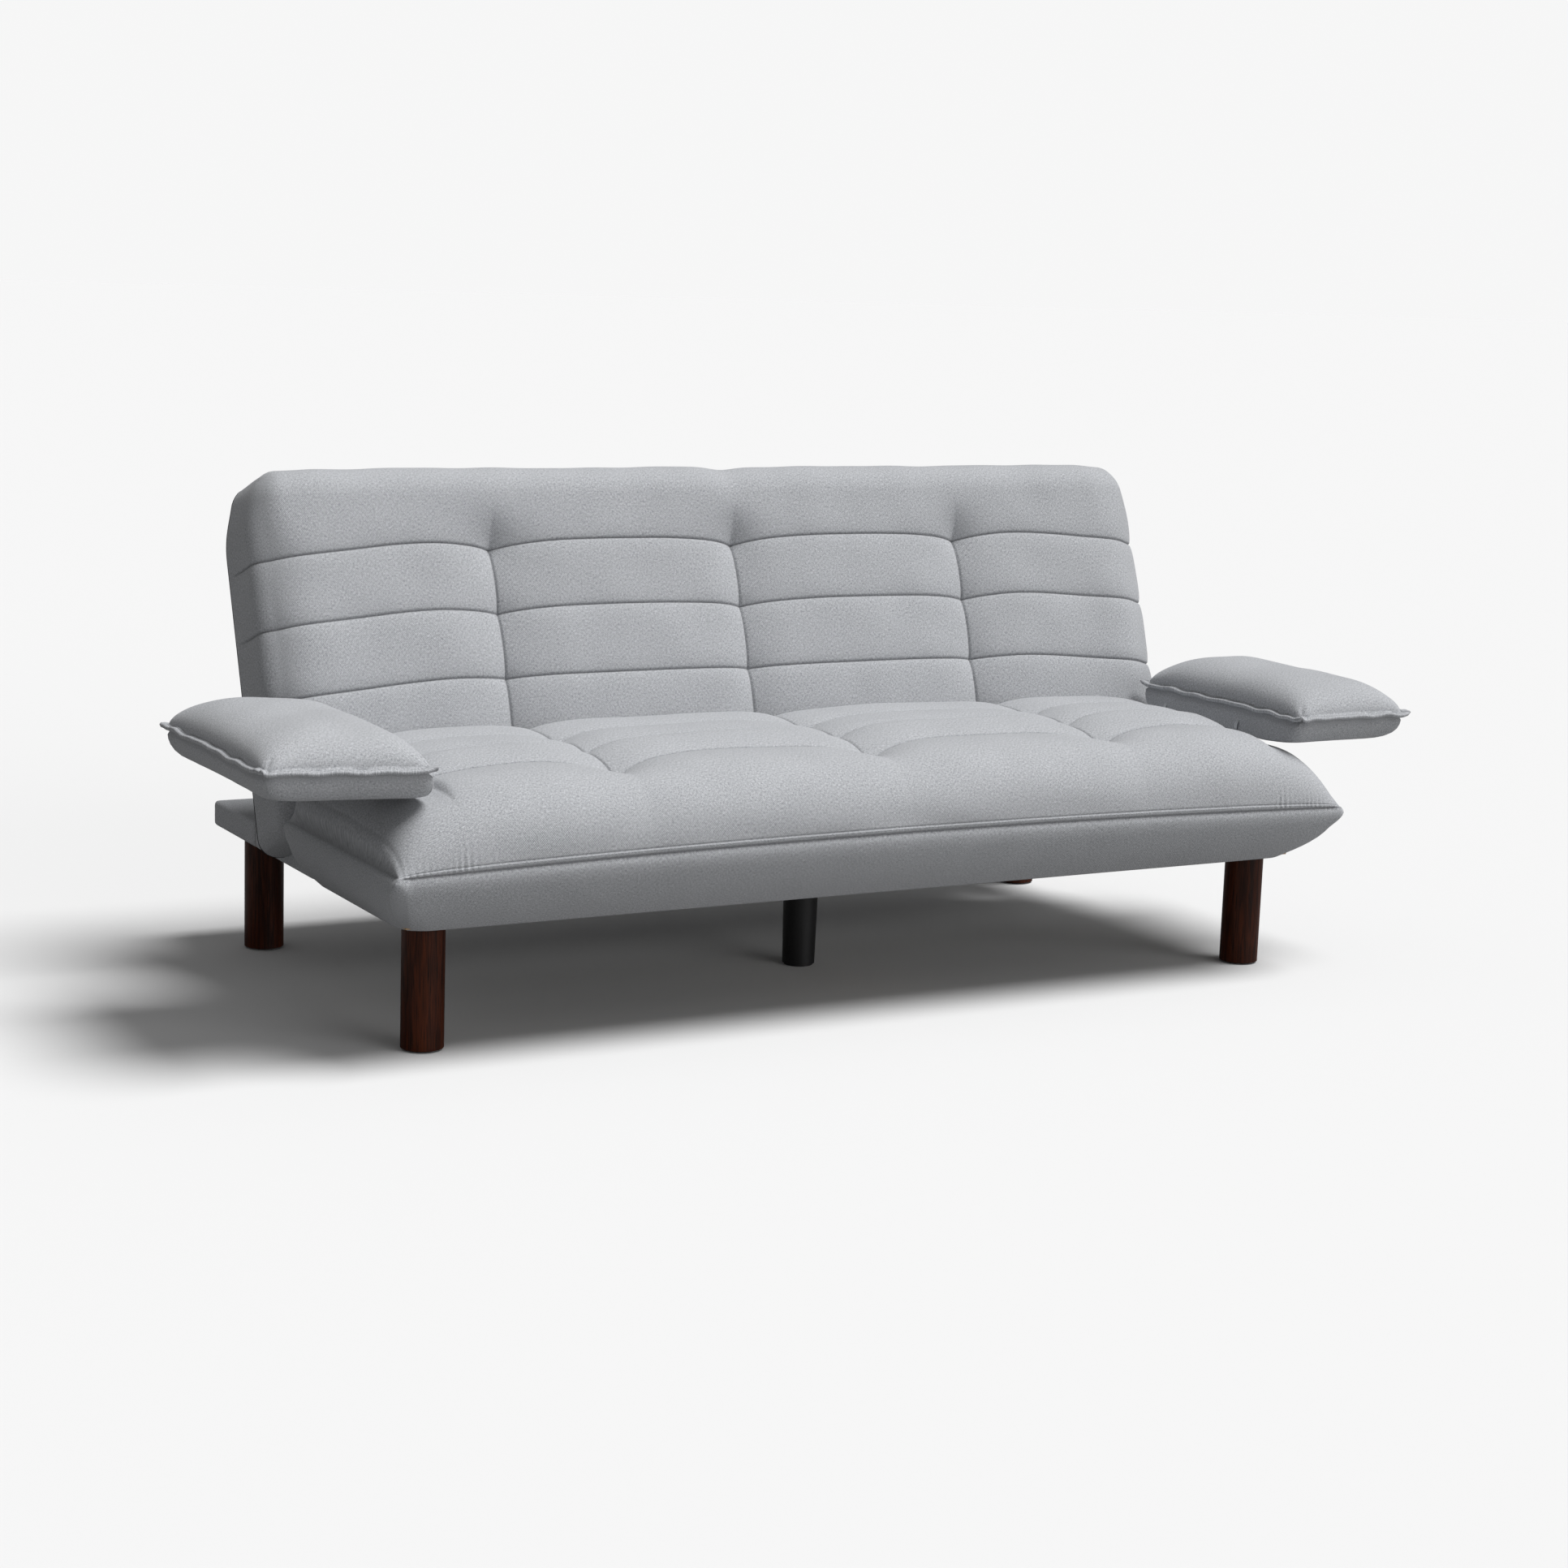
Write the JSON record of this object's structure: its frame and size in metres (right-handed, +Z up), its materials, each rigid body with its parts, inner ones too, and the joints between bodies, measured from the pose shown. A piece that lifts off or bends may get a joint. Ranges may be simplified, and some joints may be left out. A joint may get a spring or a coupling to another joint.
{
  "type": "futon sofa bed",
  "caption": "Futon sofa bed: fixed cushioned seat on timber legs, tufted backrest that reclines flat on toothed hinges, and pillow arms that lift up.",
  "frame": {"origin": "on the floor, under the middle of the object's box", "axes": "+X along the seat to the right as seen from the front, +Y to the rear, +Z up; the seat faces -Y"},
  "size_m": [1.9, 0.865, 0.7457],
  "materials": {
    "leg_wood": "satin",
    "black_plastic": "satin",
    "black_rubber": "matte",
    "black_cloth": "matte",
    "grey_twill": "matte",
    "foam": "matte",
    "timber": "matte",
    "dark_steel": "satin",
    "zinc_steel": "satin"
  },
  "bodies": {
    "root": {"leg_front_left": "leg_wood", "leg_front_right": "leg_wood", "leg_rear_left": "leg_wood", "leg_rear_right": "leg_wood", "leg_centre": "black_plastic", "leg_glides": "black_rubber", "leg_bolts": "zinc_steel", "leg_nuts": "zinc_steel", "base_front_rail": "timber", "base_rear_rail": "timber", "base_left_rail": "timber", "base_right_rail": "timber", "seat_cross_rail": "timber", "deck_cross_rail": "timber", "centre_beam": "timber", "corner_blocks": "timber", "frame_screws": "zinc_steel", "deck_panel": "timber", "deck_cover": "grey_twill", "side_cover_left": "grey_twill", "side_cover_right": "grey_twill", "dust_cover": "black_cloth", "seat_slats": "timber", "seat_foam": "foam", "seat_cover": "grey_twill", "rest_bumpers": "black_rubber", "back_hinge_plate_left": "zinc_steel", "back_hinge_plate_right": "zinc_steel", "hinge_anchor_bolts": "zinc_steel", "back_pin_left": "zinc_steel", "back_pin_right": "zinc_steel", "arm_brackets_left": "zinc_steel", "arm_brackets_right": "zinc_steel", "arm_hinge_pins": "zinc_steel", "arm_bracket_screws": "zinc_steel"},
    "backrest": {"back_top_rail": "dark_steel", "back_bottom_rail": "dark_steel", "back_left_stile": "dark_steel", "back_right_stile": "dark_steel", "back_slats": "timber", "back_foam": "foam", "back_cover": "grey_twill", "back_hinge_arm_left": "zinc_steel", "back_hinge_arm_right": "zinc_steel", "back_arm_bolts": "zinc_steel", "pawl_pins": "zinc_steel", "pawl_springs": "zinc_steel"},
    "pawl_left": {"pawl_left": "dark_steel"},
    "pawl_right": {"pawl_right": "dark_steel"},
    "arm_left": {"arm_straps_left": "zinc_steel", "arm_strap_screws_left": "zinc_steel", "arm_board_left": "timber", "arm_foam_left": "foam", "arm_cover_left": "grey_twill"},
    "arm_right": {"arm_straps_right": "zinc_steel", "arm_strap_screws_right": "zinc_steel", "arm_board_right": "timber", "arm_foam_right": "foam", "arm_cover_right": "grey_twill"}
  },
  "joints": [
    {"name": "backrest_recline", "type": "hinge", "parent": "root", "child": "backrest", "pos_m": [0, 0.1235, 0.27], "axis": [-1, 0, 0], "range_deg": [0, 70.5]},
    {"name": "arm_left_lift", "type": "hinge", "parent": "root", "child": "arm_left", "pos_m": [-0.727, -0.1865, 0.369], "axis": [0, 1, 0], "range_deg": [0, 80]},
    {"name": "arm_right_lift", "type": "hinge", "parent": "root", "child": "arm_right", "pos_m": [0.727, -0.1865, 0.369], "axis": [0, -1, 0], "range_deg": [0, 80]},
    {"name": "pawl_left_drop", "type": "hinge", "parent": "backrest", "child": "pawl_left", "pos_m": [-0.718, 0.16081, 0.30346], "axis": [1, 0, 0], "range_deg": [0, 11.5]},
    {"name": "pawl_right_drop", "type": "hinge", "parent": "backrest", "child": "pawl_right", "pos_m": [0.718, 0.16081, 0.30346], "axis": [1, 0, 0], "range_deg": [0, 11.5]}
  ],
  "couplings": [
    {"joint": "pawl_right_drop", "follows": "pawl_left_drop", "ratio": 1}
  ]
}
